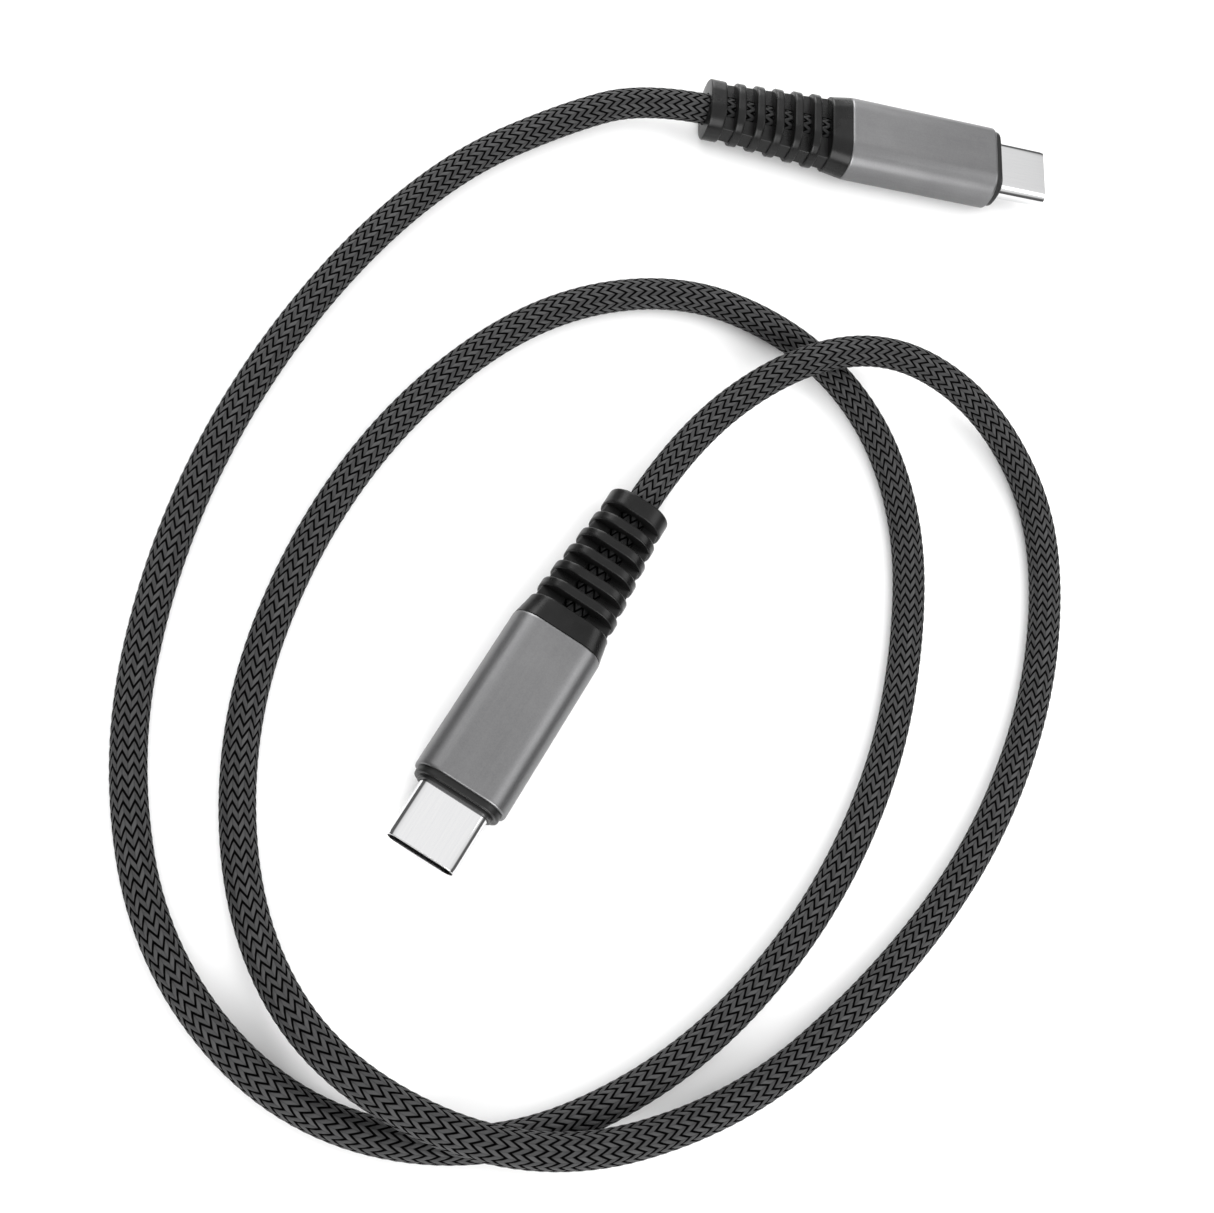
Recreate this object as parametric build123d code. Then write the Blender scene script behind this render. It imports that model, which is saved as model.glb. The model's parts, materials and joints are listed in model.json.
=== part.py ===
from build123d import *
import math
import os

os.makedirs("parts", exist_ok=True)

# A charging cable: one braided cable with the same flat oval plug at both ends.
# The cable lies on the floor, z = 0, in two loops that cross twice. All sizes are in mm.
#
# Each plug is modelled lying along X. Its tip points to +X, its width is along Y, and x = 0 is
# the front face of the aluminium housing. placed() turns it and stands it where it lies.

# ---- driving dimensions: the cable ----
cord_diameter = 3.8
braid_wall = 0.3
jacket_wall = 0.4
layer_gap = 0.1

# ---- driving dimensions: the steel shell of the plug ----
shell_width = 8.25
shell_height = 2.40
shell_wall = 0.20
shell_exposed = 6.65
shell_lip = 0.10

# ---- driving dimensions: the aluminium housing ----
housing_width = 11.0
housing_height = 6.2
housing_corner = 2.8
housing_length = 20.3
housing_wall = 0.5
housing_edge = 0.25

# ---- driving dimensions: the plastic nose ----
nose_length = 1.1
nose_inset = 0.4
nose_edge = 0.3
nose_spigot = 2.5

# ---- driving dimensions: the strain relief ----
boot_spigot = 3.0
boot_collar = 2.7
boot_shoulder_width = 10.0
boot_height = 6.0
boot_corner = 2.7
ring_width = 7.6
ring_length = 2.1
rib_count = 5
rib_length = 1.15
slot_length = 1.39
rail_height = 2.6
rail_inset = 0.4
boot_edge = 0.3

# ---- driving dimensions: inside the shell ----
contact_count = 12
contact_pitch = 0.5
contact_width = 0.26
contact_thickness = 0.12
mouth_recess = 0.5
lining_side_wall = 0.525
cavity_height = 1.24
latch_thickness = 0.15
latch_arm = 0.3
spring_side_gap = 0.125
spring_length = 2.4
spring_thickness = 0.12

# ---- driving dimensions: inside the housing ----
board_side_gap = 0.45
board_length = 8.2
board_thickness = 0.72
chip_side = 2.6
chip_height = 0.7
capacitor_size = (1.0, 0.5, 0.5)
wire_diameter = 0.9
wire_length = 5.1
can_side_gap = 0.125
can_height = 4.2
can_corner = 1.75
can_wall = 0.2
can_length = 11.6
crimp_wall = 0.3
crimp_length = 1.9

# ---- clearances ----
slide_gap = 0.05
contact_gap = 0.02
bore_gap = 0.10

# ---- where the two plugs lie: front face of the housing, and heading in degrees ----
plugs = {"a": (-34.2, -42.9, -120.0), "b": (33.7, 45.1, -3.0)}

# ---- worked out from the driving dimensions ----
cord_r = cord_diameter / 2
axis_height = housing_height / 2
tip_x = nose_length + shell_exposed
shell_back = -nose_spigot - 1.0
shell_inner_width = shell_width - 2 * shell_wall
shell_inner_height = shell_height - 2 * shell_wall
lining_width = shell_inner_width - 2 * slide_gap
cavity_width = lining_width - 2 * lining_side_wall
spring_width = shell_width - shell_height - 2 * spring_side_gap
can_width = shell_width + 2 * (can_side_gap + can_wall)
can_inner_width = can_width - 2 * can_wall
board_width = can_inner_width - 2 * board_side_gap
housing_inner_width = housing_width - 2 * housing_wall
housing_inner_height = housing_height - 2 * housing_wall
housing_inner_corner = housing_corner - housing_wall
fill_width = housing_inner_width - 2 * slide_gap
fill_height = housing_inner_height - 2 * slide_gap
fill_corner = housing_inner_corner - slide_gap
block_front = nose_length - 0.7
block_back = shell_back + 0.5
lining_front = tip_x - mouth_recess
contact_z = board_thickness / 2 + 2 * contact_gap
contact_front = lining_front - 0.65
contact_back = shell_back - 1.7
board_front = shell_back - 0.3
board_back = board_front - board_length
can_front = -nose_spigot - 0.2
can_back = can_front - can_length
lead_front = can_back - 0.7
crimp_front = lead_front - 0.2
shoulder_x = -housing_length - boot_collar
ribbed_length = rib_count * rib_length + (rib_count + 1) * slot_length
ring_front = shoulder_x - ribbed_length
boot_back = ring_front - ring_length
lead_back = ring_front - ring_length / 2


def bar(outline, x_back, x_front):
    """An outline in the plug's cross-section, carried from x_back to x_front."""
    return extrude(Plane.YZ.offset(x_back) * outline, amount=x_front - x_back)


def block(x_back, x_front, width, height, y=0.0, z=0.0):
    """A plain box with its middle at y, z."""
    middle = (x_back + x_front) / 2
    return Pos(middle, y, z) * Box(x_front - x_back, width, height)


def end_edges(solid, at_front):
    """The edges round the front or the back face of a bar."""
    faces = solid.faces().sort_by(Axis.X)
    return faces[-1].edges() if at_front else faces[0].edges()


def group(solids):
    return Compound(list(solids))


# ---- shell and contacts ----

def plug_shell():
    outer = bar(SlotOverall(shell_width, shell_height), shell_back, tip_x)
    outer = fillet(end_edges(outer, True), shell_lip)
    return outer - bar(SlotOverall(shell_inner_width, shell_inner_height), shell_back, tip_x)


def contact_row(side, gap=0.0):
    """One row of contact strips: side is 1 above the tongue space and -1 below it."""
    first = -(contact_count - 1) * contact_pitch / 2
    z = side * (contact_z + contact_thickness / 2)
    size_y = contact_width + 2 * gap
    size_z = contact_thickness + 2 * gap
    strips = []
    for i in range(contact_count):
        y = first + i * contact_pitch
        strips.append(block(contact_back, contact_front, size_y, size_z, y, z))
    return strips


def latch_plate(gap=0.0):
    """A flat fork: its stem is held in the lining, and its arms grip the socket's tongue."""
    width = cavity_width - 0.2 + 2 * gap
    thickness = latch_thickness + 2 * gap
    stem = block(block_back, block_front - 0.2, width, thickness)
    arm_y = (width - latch_arm) / 2 - gap
    plate = stem
    for side in (-1, 1):
        arm_size = latch_arm + 2 * gap
        plate += block(block_front - 0.2, lining_front - 1.6, arm_size, thickness, side * arm_y)
    return plate


def ground_spring(side, gap=0.0):
    lining_z = shell_inner_height / 2 - slide_gap
    z = side * (lining_z - spring_thickness / 2)
    back = contact_front - 1.2 - spring_length
    return block(back - gap, back + spring_length + gap, spring_width + 2 * gap,
                 spring_thickness + 2 * gap, 0, z)


def contact_lining():
    height = shell_inner_height - 2 * slide_gap
    lining = bar(SlotOverall(lining_width, height), block_back, lining_front)
    lining -= bar(SlotOverall(cavity_width, cavity_height), block_front, lining_front)
    for side in (-1, 1):
        for strip in contact_row(side, contact_gap):
            lining -= strip
        lining -= ground_spring(side, contact_gap)
    return lining - latch_plate(contact_gap)


# ---- board and wires ----

def paddle_board():
    return block(board_back, board_front, board_width, board_thickness)


def board_chip():
    x = board_front - 3.4
    z = board_thickness / 2 + chip_height / 2
    return block(x - chip_side / 2, x + chip_side / 2, chip_side, chip_height, 0, z)


def capacitors():
    length, width, height = capacitor_size
    z = board_thickness / 2 + height / 2
    y = chip_side / 2 + width + 0.8
    x = board_front - 3.4
    places = [(x, y, z), (x, -y, z), (x, y, -z), (x, -y, -z)]
    return [block(px - length / 2, px + length / 2, width, height, py, pz) for px, py, pz in places]


def wire_ends():
    z = board_thickness / 2 + wire_diameter / 2
    y = wire_diameter / 2 + 0.17
    wires = []
    for side_y in (-1, 1):
        for side_z in (-1, 1):
            wire = bar(Circle(wire_diameter / 2), lead_front, lead_front + wire_length)
            wires.append(Pos(0, side_y * y, side_z * z) * wire)
    return wires


# ---- shield can, crimp and mould ----

def shield_half(side):
    """Half of the can: a bent trough with a notched wall at its back for the wires."""
    outer = bar(RectangleRounded(can_width, can_height, can_corner), can_back, can_front)
    inner_height = can_height - 2 * can_wall
    inner = RectangleRounded(can_inner_width, inner_height, can_corner - can_wall)
    can = outer - bar(inner, can_back + can_wall, can_front)
    notch_width = 4 * wire_diameter
    notch_height = board_thickness + 2 * wire_diameter + 0.3
    can -= block(can_back, can_back + can_wall, notch_width, notch_height)
    keep = block(can_back, can_front, can_width, can_height / 2, 0, side * can_height / 4)
    return can & keep


def crimp_ring():
    inner_r = cord_r + slide_gap
    ring = Circle(inner_r + crimp_wall) - Circle(inner_r)
    return bar(ring, crimp_front - crimp_length, crimp_front)


def inner_mould():
    """The plastic that fills the housing round the can and the crimp ring."""
    back = -housing_length + boot_spigot + slide_gap
    front = -nose_spigot - slide_gap
    mould = bar(RectangleRounded(fill_width, fill_height, fill_corner), back, front)
    room = RectangleRounded(can_width + 2 * slide_gap, can_height + 2 * slide_gap, can_corner + slide_gap)
    mould -= bar(room, can_back - slide_gap, front)
    crimp_room = cord_r + slide_gap + crimp_wall + slide_gap
    return mould - bar(Circle(crimp_room), back, can_back)


# ---- nose, housing and strain relief ----

def nose_collar():
    lip = RectangleRounded(housing_width - 2 * nose_inset, housing_height - 2 * nose_inset,
                           housing_corner - nose_inset)
    nose = bar(lip, 0, nose_length)
    nose = fillet(end_edges(nose, True), nose_edge)
    nose += bar(RectangleRounded(fill_width, fill_height, fill_corner), -nose_spigot, 0)
    hole = SlotOverall(shell_width + 2 * slide_gap, shell_height + 2 * slide_gap)
    return nose - bar(hole, -nose_spigot, nose_length)


def housing_sleeve():
    outline = RectangleRounded(housing_width, housing_height, housing_corner)
    sleeve = bar(outline, -housing_length, 0)
    sleeve = fillet(end_edges(sleeve, True) + end_edges(sleeve, False), housing_edge)
    hollow = RectangleRounded(housing_inner_width, housing_inner_height, housing_inner_corner)
    return sleeve - bar(hollow, -housing_length, 0)


def boot_width(x):
    """The strain relief's width, which narrows from its shoulder to its end ring."""
    along = (shoulder_x - x) / (shoulder_x - ring_front)
    return boot_shoulder_width + (ring_width - boot_shoulder_width) * along


def boot_slice(x_back, x_front):
    width = boot_width((x_back + x_front) / 2)
    piece = bar(RectangleRounded(width, boot_height, boot_corner), x_back, x_front)
    return fillet(end_edges(piece, True) + end_edges(piece, False), boot_edge)


def boot_rails():
    """The tapered slab along the middle height that joins the ribs at both sides."""
    front, back = shoulder_x + boot_edge, ring_front - boot_edge
    half_front = boot_width(front) / 2 - rail_inset
    half_back = boot_width(back) / 2 - rail_inset
    plan = Polyline((front, -half_front), (front, half_front), (back, half_back), (back, -half_back),
                    close=True)
    slab = extrude(make_face(plan), amount=rail_height / 2, both=True)
    long_edges = [e for e in slab.edges() if abs((e % 0).X) > 0.5]
    return fillet(long_edges, rail_height / 4)


def strain_relief():
    spigot = RectangleRounded(fill_width, fill_height, fill_corner)
    boot = bar(spigot, -housing_length, -housing_length + boot_spigot)
    at_housing = RectangleRounded(housing_width - 2 * slide_gap, housing_height - 2 * slide_gap,
                                  housing_corner - slide_gap)
    at_shoulder = RectangleRounded(boot_shoulder_width, boot_height, boot_corner)
    collar = loft([Plane.YZ.offset(shoulder_x) * at_shoulder, Plane.YZ.offset(-housing_length) * at_housing])
    boot += fillet(end_edges(collar, False), boot_edge)
    boot += boot_rails()
    for i in range(rib_count):
        front = shoulder_x - slot_length - i * (rib_length + slot_length)
        boot += boot_slice(front - rib_length, front)
    boot += boot_slice(boot_back, ring_front)
    return boot - bar(Circle(cord_r + bore_gap), boot_back, -housing_length + boot_spigot)


# ---- the cable's straight end inside the plug ----

def cord_layers():
    """Outer and inner radius of each layer of the cable."""
    braid = (cord_r, cord_r - braid_wall)
    jacket = (braid[1] - layer_gap, braid[1] - layer_gap - jacket_wall)
    return {"braid": braid, "jacket": jacket, "wires": (jacket[1] - layer_gap, 0.0)}


def ring_outline(radii):
    outer, inner = radii
    return Circle(outer) - Circle(inner) if inner > 0 else Circle(outer)


def plug_pieces():
    pieces = {
        "plug_shell": plug_shell(),
        "contact_lining": contact_lining(),
        "upper_contacts": group(contact_row(1)),
        "lower_contacts": group(contact_row(-1)),
        "latch_plate": latch_plate(),
        "ground_springs": group([ground_spring(1), ground_spring(-1)]),
        "paddle_board": paddle_board(),
        "board_chip": board_chip(),
        "board_capacitors": group(capacitors()),
        "wire_ends": group(wire_ends()),
        "shield_can_upper": shield_half(1),
        "shield_can_lower": shield_half(-1),
        "crimp_ring": crimp_ring(),
        "inner_mould": inner_mould(),
        "nose_collar": nose_collar(),
        "housing_sleeve": housing_sleeve(),
        "strain_relief": strain_relief(),
    }
    for layer, radii in cord_layers().items():
        pieces["cable_end_" + layer] = bar(ring_outline(radii), lead_back, lead_front)
    return pieces


def placed(shape, place):
    x, y, heading = place
    return Pos(x, y, axis_height) * Rot(0, 0, heading) * shape


def behind(place, distance):
    """A point on the plug's axis, this far behind the end of its straight cable."""
    x, y, heading = place
    reach = lead_back - distance
    turn = math.radians(heading)
    return (x + reach * math.cos(turn), y + reach * math.sin(turn), axis_height)


# ---- the free cable ----
# It leaves plug b straight, comes down to the floor, goes round twice, and rises in a long low
# hump over each strand that it crosses, before it runs straight into plug a.
on_floor = cord_r
rising = 4.5
over = on_floor + 2 * cord_diameter

route = [
    behind(plugs["b"], 0),
    behind(plugs["b"], 9),
    (-24, 43, on_floor),
    (-37, 34, on_floor),
    (-49.5, 19, on_floor),
    (-60, 0, on_floor),
    (-66.5, -20, on_floor),
    (-68.5, -41, on_floor),
    (-63.5, -61, on_floor),
    (-49.5, -75.5, on_floor),
    (-30, -79, on_floor),
    (-11, -71, on_floor),
    (4, -56.5, on_floor),
    (14, -39, on_floor),
    (18.5, -22, on_floor),
    (19.5, -6, on_floor),
    (15, 8, on_floor),
    (5, 17.5, on_floor),
    (-9, 21.5, on_floor),
    (-25.5, 16.5, on_floor),
    (-40.5, 3, on_floor),
    (-51.5, -15, on_floor),
    (-57.5, -36, on_floor),
    (-55.5, -57, on_floor),
    (-46, -72, over),
    (-26, -80, over),
    (-4, -74.5, on_floor),
    (12.5, -61.5, on_floor),
    (25.5, -46.5, on_floor),
    (34, -29.5, on_floor),
    (37.5, -13, on_floor),
    (36.5, 0, on_floor),
    (29, 11, rising),
    (16.5, 15, over),
    (3.5, 11, over),
    behind(plugs["a"], 12),
    behind(plugs["a"], 0),
]


def corner_radii(points):
    """As large an arc at each corner as its two runs allow."""
    corners = [Vector(*p) for p in points]
    radii = []
    for before, here, after in zip(corners, corners[1:], corners[2:]):
        run_in = here - before
        run_out = after - here
        half_turn = math.radians(run_in.get_angle(run_out)) / 2
        radii.append(0.45 * min(run_in.length, run_out.length) / math.tan(half_turn))
    return radii


def free_cable():
    """The three layers of the free cable, each swept along the same line."""
    radii = corner_radii(route)
    line = FilletPolyline(*route, radius=radii)
    print("corner radii:", [round(r, 1) for r in radii])
    print("cable line:", round(line.length, 1), "mm")
    start = Plane(origin=line @ 0, z_dir=line % 0)
    layers = {}
    for layer, layer_radii in cord_layers().items():
        outline = start * ring_outline(layer_radii)
        tube = sweep(outline, path=line)
        print(layer, "volume", round(tube.volume, 1), "expected", round(outline.area * line.length, 1))
        layers["cable_" + layer] = tube
    return layers


def build():
    nodes = {}
    for name, piece in plug_pieces().items():
        for plug, place in plugs.items():
            nodes[name + "_" + plug] = placed(piece, place)
    boxes = [shape.bounding_box() for shape in nodes.values()]
    low = [min(getattr(box.min, axis) for box in boxes) for axis in "XYZ"]
    high = [max(getattr(box.max, axis) for box in boxes) for axis in "XYZ"]
    print("plugs' box:", [round(v, 2) for v in low], [round(v, 2) for v in high])
    nodes.update(free_cable())
    for name, shape in nodes.items():
        export_step(shape, "parts/" + name + ".step")


build()
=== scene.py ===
# %% [markdown]
# # A braided charging cable
#
# The real thing is two flat oval plugs with a woven cord between them. The solid model already says
# where every piece is and how large it is. This script gives the pieces their looks around that
# fixed frame: a woven sleeve on the cord, thin ribs on the strain reliefs, satin metal, soft black
# plastic. Nothing in the frame is moved, so the frame is loaded first and its box is kept.

# %% Load the fixed frame
import json
import math

import bmesh
import bpy
from mathutils import Euler, Matrix, Vector


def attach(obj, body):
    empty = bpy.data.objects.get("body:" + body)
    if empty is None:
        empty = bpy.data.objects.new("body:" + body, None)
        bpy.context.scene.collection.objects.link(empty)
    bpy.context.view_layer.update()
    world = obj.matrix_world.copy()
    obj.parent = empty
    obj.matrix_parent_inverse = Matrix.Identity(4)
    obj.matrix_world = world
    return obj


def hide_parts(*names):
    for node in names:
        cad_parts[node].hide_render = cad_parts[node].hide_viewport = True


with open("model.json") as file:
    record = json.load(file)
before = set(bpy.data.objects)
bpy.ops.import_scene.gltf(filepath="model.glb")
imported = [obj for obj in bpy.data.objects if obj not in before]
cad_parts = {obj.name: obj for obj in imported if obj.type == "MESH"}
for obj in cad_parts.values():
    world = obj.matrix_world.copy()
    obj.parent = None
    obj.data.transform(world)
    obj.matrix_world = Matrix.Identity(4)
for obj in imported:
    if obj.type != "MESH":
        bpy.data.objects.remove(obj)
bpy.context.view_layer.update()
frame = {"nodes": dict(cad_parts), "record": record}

MM = 0.001

# %% [markdown]
# ## Camera, light and floor
#
# The cable lies flat, and the camera looks down on it from above its lower left. A near-white floor
# and a sky that is bright overhead and dark near the horizon are the whole studio. Metal and black
# plastic show almost nothing but what they mirror, so the dark band low in the sky is what draws the
# dark lines along the plugs' round edges. Two broad lamps stand low, one beyond the cable and one on
# the near side, so the cord is lightest where it runs from side to side. A weak third lamp on the
# right fills in.

# %% Camera
look_at = Vector((-0.0175, -0.01985, 0.0))
camera_turn = Euler((math.radians(19.30), math.radians(-14.48), 0.0))
camera_distance = 0.1812

camera_data = bpy.data.cameras.new("camera")
camera_data.lens = 47.45
camera_data.sensor_width = 36.0
camera_data.clip_start = 0.01
camera = bpy.data.objects.new("camera", camera_data)
camera.rotation_euler = camera_turn
camera.location = look_at + camera_turn.to_matrix() @ Vector((0, 0, camera_distance))
bpy.context.collection.objects.link(camera)
bpy.context.scene.camera = camera
bpy.context.scene.view_settings.view_transform = "Standard"
print("camera at", tuple(round(v, 4) for v in camera.location))


# %% Helpers for node trees
def put(tree, kind, inputs=None, **settings):
    """Adds a node. An input given as a socket is linked, and any other value is set on it."""
    made = tree.nodes.new(kind)
    for name, value in settings.items():
        setattr(made, name, value)
    for name, value in (inputs or {}).items():
        if isinstance(value, bpy.types.NodeSocket):
            tree.links.new(value, made.inputs[name])
        else:
            made.inputs[name].default_value = value
    return made


def maths(tree, operation, *values):
    """The result of one Math node."""
    return put(tree, "ShaderNodeMath", dict(enumerate(values)), operation=operation).outputs[0]


def ramp(tree, factor, stops):
    """A colour ramp's colour, from (position, grey or colour) stops."""
    made = put(tree, "ShaderNodeValToRGB", {"Fac": factor})
    elements = made.color_ramp.elements
    while len(elements) < len(stops):
        elements.new(0.5)
    for element, (position, colour) in zip(elements, stops):
        element.position = position
        element.color = (*colour, 1.0) if isinstance(colour, tuple) else (colour, colour, colour, 1.0)
    return made.outputs["Color"]


# %% Sky
world = bpy.data.worlds.new("studio")
world.use_nodes = True
sky = world.node_tree
sky.nodes.clear()
direction = put(sky, "ShaderNodeTexCoord").outputs["Generated"]
height = put(sky, "ShaderNodeSeparateXYZ", {"Vector": direction}).outputs["Z"]
horizon_to_zenith = [(0.0, 0.24), (0.12, 0.10), (0.42, 0.13), (0.60, 0.80), (1.0, 1.0)]
sky_strength = 1.3
sky_colour = ramp(sky, height, horizon_to_zenith)
background = put(sky, "ShaderNodeBackground", {"Color": sky_colour, "Strength": sky_strength})
put(sky, "ShaderNodeOutputWorld", {"Surface": background.outputs[0]})
bpy.context.scene.world = world
print("sky:", len(sky.nodes), "nodes")


# %% Lamps
def soft_lamp(name, place, side, power):
    """A square lamp that faces the middle of the cable."""
    data = bpy.data.lights.new(name, "AREA")
    data.shape = "SQUARE"
    data.size = side
    data.energy = power
    lamp = bpy.data.objects.new(name, data)
    lamp.location = place
    lamp.rotation_euler = (Vector(place) - look_at).to_track_quat("Z", "Y").to_euler()
    bpy.context.collection.objects.link(lamp)
    print("lamp", name + ":", power, "W,", round(lamp.location.length, 2), "m away")


soft_lamp("far", (-0.06, 0.80, 0.38), side=0.60, power=8.0)
soft_lamp("near", (-0.06, -0.80, 0.38), side=0.60, power=8.5)
soft_lamp("fill", (0.46, 0.00, 0.42), side=0.35, power=1.0)

# %% Floor
floor_side = 5.0
floor_drop = 0.02 * MM
half = floor_side / 2
corners = [(x * half, y * half, -floor_drop) for x, y in ((-1, -1), (1, -1), (1, 1), (-1, 1))]
floor_mesh = bpy.data.meshes.new("floor")
floor_mesh.from_pydata(corners, [], [(0, 1, 2, 3)])
floor = bpy.data.objects.new("floor", floor_mesh)
bpy.context.collection.objects.link(floor)
floor_paper = bpy.data.materials.new("floor_paper")
floor_paper.use_nodes = True
floor_shader = floor_paper.node_tree.nodes["Principled BSDF"]
floor_shader.inputs["Base Color"].default_value = (0.93, 0.93, 0.93, 1.0)
floor_shader.inputs["Roughness"].default_value = 0.9
floor_shader.inputs["Specular IOR Level"].default_value = 0.1
floor_mesh.materials.append(floor_paper)
print("floor:", floor_side, "m square")

# %% [markdown]
# ## Where the plugs lie
#
# Each plug has its own directions: x runs to its tip, y across it and z up, with x = 0 at the front
# face of the aluminium sleeve. The frame's record names a mount at each plug's tip. Measuring the
# solid nodes in these directions gives lengths and widths that never have to be typed twice.


# %% Plug directions and measured sizes
def plug_frame(letter):
    """Turns a plug's own directions into the frame's."""
    mount = next(m for m in frame["record"]["mounts"] if m["name"] == "plug_" + letter)
    forward = Vector(mount["axis"]).normalized()
    across = Vector((0, 0, 1)).cross(forward)
    place = Matrix((forward, across, forward.cross(across))).transposed().to_4x4()
    place.translation = Vector(mount["pos_m"])
    return place


def extent(node, letter="a"):
    """A node's lowest and highest corner in its plug's own directions."""
    to_plug = plugs[letter].inverted()
    points = [to_plug @ v.co for v in frame["nodes"][node + "_" + letter].data.vertices]
    low = Vector([min(p[i] for p in points) for i in range(3)])
    high = Vector([max(p[i] for p in points) for i in range(3)])
    return low, high


plugs = {letter: plug_frame(letter) for letter in "ab"}
front = extent("housing_sleeve")[1].x
plugs = {letter: place @ Matrix.Translation((front, 0, 0)) for letter, place in plugs.items()}

housing_low, housing_high = extent("housing_sleeve")
nose_low, nose_high = extent("nose_collar")
shell_low, shell_high = extent("plug_shell")
boot_low, boot_high = extent("strain_relief")
lead_low, lead_high = extent("cable_end_braid")
cord_radius = lead_high.y
plug_length = shell_high.x - boot_low.x
print("cord diameter", round(2 * cord_radius / MM, 2), "mm")
print("plug length", round(plug_length / MM, 1), "mm")

# %% [markdown]
# ## The cord's line
#
# A soft cable lies in wide, uneven bends, so its middle line is one NURBS curve: a few control
# points pull on it, and it stays smooth between them. It leaves each plug straight, comes down to
# the floor, and passes over itself twice in a long low hump. Each hump has two points at its top,
# one each side of the crossing, and is only just high enough for one strand to rest on the other.


# %% Route
def behind(letter, distance):
    """A point on a plug's axis, this far behind the end of its straight cable."""
    return tuple(plugs[letter] @ Vector((lead_low.x - distance, 0, 0)))


on_floor = cord_radius
lower_hump = 6.1 * MM
rising = 3.3 * MM
upper_hump = 5.85 * MM

route = [
    behind("b", 0.0),
    behind("b", 0.009),
    (-0.0240, 0.0430, on_floor),
    (-0.0370, 0.0340, on_floor),
    (-0.0495, 0.0190, on_floor),
    (-0.0600, 0.0000, on_floor),
    (-0.0665, -0.0200, on_floor),
    (-0.0685, -0.0410, on_floor),
    (-0.0635, -0.0610, on_floor),
    (-0.0495, -0.0755, on_floor),
    (-0.0300, -0.0790, on_floor),
    (-0.0110, -0.0710, on_floor),
    (0.0040, -0.0565, on_floor),
    (0.0140, -0.0390, on_floor),
    (0.0185, -0.0220, on_floor),
    (0.0195, -0.0060, on_floor),
    (0.0150, 0.0080, on_floor),
    (0.0050, 0.0175, on_floor),
    (-0.0090, 0.0215, on_floor),
    (-0.0255, 0.0165, on_floor),
    (-0.0405, 0.0030, on_floor),
    (-0.0515, -0.0150, on_floor),
    (-0.0575, -0.0360, on_floor),
    (-0.0555, -0.0570, on_floor),
    (-0.0460, -0.0720, lower_hump),
    (-0.0260, -0.0800, lower_hump),
    (-0.0040, -0.0745, on_floor),
    (0.0125, -0.0615, on_floor),
    (0.0255, -0.0465, on_floor),
    (0.0340, -0.0295, on_floor),
    (0.0375, -0.0130, on_floor),
    (0.0365, 0.0000, on_floor),
    (0.0290, 0.0110, rising),
    (0.0165, 0.0150, upper_hump),
    (0.0035, 0.0110, upper_hump),
    behind("a", 0.012),
    behind("a", 0.0),
]


# %% From route to line
def smooth_line(name, points):
    """A NURBS curve that its control points pull on, and that starts and ends at the outer two."""
    data = bpy.data.curves.new(name, "CURVE")
    data.dimensions = "3D"
    data.resolution_u = 24
    spline = data.splines.new("NURBS")
    spline.points.add(len(points) - 1)
    for point, place in zip(spline.points, points):
        point.co = (*place, 1.0)
    spline.order_u = 3
    spline.use_endpoint_u = True
    line = bpy.data.objects.new(name, data)
    bpy.context.collection.objects.link(line)
    return line


def points_along(line):
    """The points that the curve itself gives, in order."""
    depsgraph = bpy.context.evaluated_depsgraph_get()
    mesh = bpy.data.meshes.new_from_object(line.evaluated_get(depsgraph))
    points = [v.co.copy() for v in mesh.vertices]
    bpy.data.meshes.remove(mesh)
    return points


def length_of(points):
    """The length of a chain of points."""
    return sum((b - a).length for a, b in zip(points, points[1:]))


cord_line = smooth_line("cord_line", route)
cord_path = points_along(cord_line)
cord_length = length_of(cord_path)
print("cord line:", len(cord_path), "points,", round(cord_length / MM, 1), "mm")

# %% [markdown]
# ## The woven sleeve
#
# A braiding machine lays bundles of thin yarn round the cord in both directions, and each bundle
# passes over two others and under two. What the eye sees is rows of slanting legs that make zigzag
# bands round the cord, with a dark groove between one band and the next. A bevelled curve with a
# bump texture would be quicker, but its outline would stay smooth where the real cord's is knobbly.
# Modelling every thin yarn would need far too many faces. The pattern follows a rule along a path,
# so Geometry Nodes make it: a grid whose rows are slid into the zigzag, wrapped round the line, and
# pinched at each groove. The four rows of one band are its groove, a shoulder, its crown and the
# other shoulder. The grid also keeps where it is in the pattern as its UV map, so that the finish can
# paint shade exactly into the grooves. The same tree then makes the two straight ends that show
# between the ribs.


# %% Helpers for Geometry Nodes
def new_tree(name, inputs):
    """An empty tree with named inputs and one geometry output."""
    tree = bpy.data.node_groups.new(name, "GeometryNodeTree")
    for label, kind in inputs.items():
        tree.interface.new_socket(label, in_out="INPUT", socket_type="NodeSocket" + kind)
    tree.interface.new_socket("Geometry", in_out="OUTPUT", socket_type="NodeSocketGeometry")
    return tree, put(tree, "NodeGroupInput").outputs


def end_tree(tree, geometry, material):
    """Every tree ends the same way: real geometry, smooth, with its finish."""
    real = put(tree, "GeometryNodeRealizeInstances", {"Geometry": geometry})
    smooth = put(tree, "GeometryNodeSetShadeSmooth", {"Geometry": real.outputs[0]})
    finished = put(tree, "GeometryNodeSetMaterial", {
        "Geometry": smooth.outputs[0], "Material": material})
    put(tree, "NodeGroupOutput", {"Geometry": finished.outputs[0]})


def one_finish(mesh, material):
    """Leaves a mesh with this finish only, on all its faces."""
    mesh.materials.clear()
    mesh.materials.append(material)
    mesh.polygons.foreach_set("material_index", [0] * len(mesh.polygons))


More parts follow.
